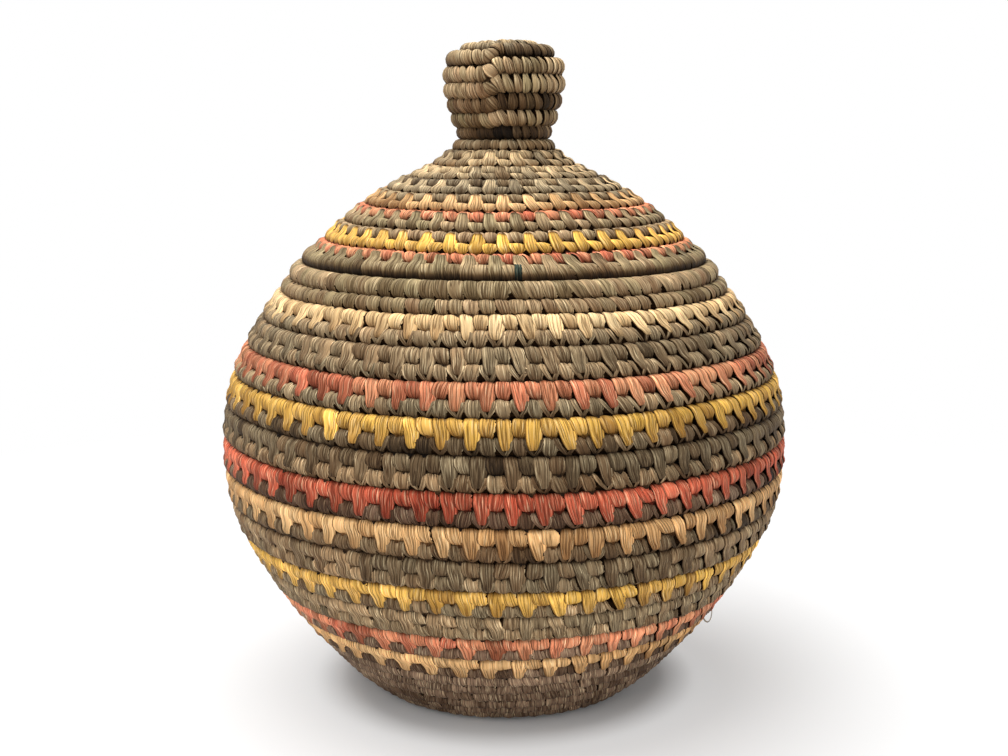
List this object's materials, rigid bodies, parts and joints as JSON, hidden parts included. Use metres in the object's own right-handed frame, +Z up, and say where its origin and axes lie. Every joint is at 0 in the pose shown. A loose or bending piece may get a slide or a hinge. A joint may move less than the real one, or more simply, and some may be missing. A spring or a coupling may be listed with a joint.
{
  "type": "lidded coiled basket",
  "caption": "Round lidded basket sewn from a coil of grass, with a cone lid that lifts off by its coiled knob.",
  "frame": {"origin": "on the floor under the middle of the base", "axes": "+Z up along the basket's axis, -Y towards the picture's camera"},
  "size_m": [0.1898, 0.1898, 0.2183],
  "materials": {
    "olive_grass": "matt dry grass",
    "cream_grass": "matt dry grass",
    "dark_grass": "matt dyed grass",
    "red_grass": "matt dyed grass",
    "yellow_grass": "matt dyed grass",
    "grey_grass": "matt dyed grass",
    "brown_grass": "matt worn grass",
    "tan_grass": "matt dry grass",
    "strand_grass": "matt dry grass"
  },
  "bodies": {
    "basket": {"basket_rim_coil": "olive_grass", "wall_cream_coil_upper": "cream_grass", "wall_dark_coil_shoulder": "dark_grass", "wall_red_coil_upper": "red_grass", "wall_dark_coil_upper_thread": "dark_grass", "wall_yellow_coil_upper": "yellow_grass", "wall_dark_coil_upper_belly": "dark_grass", "wall_red_coil_belly": "red_grass", "wall_grey_coil_belly": "grey_grass", "wall_cream_coil_belly": "cream_grass", "wall_dark_coil_lower_belly": "dark_grass", "wall_yellow_coil_lower": "yellow_grass", "wall_dark_coil_lower": "dark_grass", "wall_red_coil_lower": "red_grass", "wall_grey_coil_lower": "grey_grass", "wall_cream_coil_lower": "cream_grass", "wall_dark_coil_foot": "brown_grass", "base_coil": "brown_grass", "loose_strand": "strand_grass"},
    "lid": {"lid_edge_coil": "olive_grass", "lid_red_coil_outer": "red_grass", "lid_yellow_coil": "yellow_grass", "lid_dark_coil": "olive_grass", "lid_red_coil_inner": "red_grass", "lid_tan_coil": "tan_grass", "lid_shoulder_coil": "grey_grass", "knob_wall_coil": "olive_grass", "knob_crown_coil": "tan_grass", "lid_flange_coil": "dark_grass"}
  },
  "joints": [
    {"name": "lid_lift", "type": "slide", "parent": "basket", "child": "lid", "axis": [0, 0, 1], "range_m": [0, 0.12]}
  ]
}
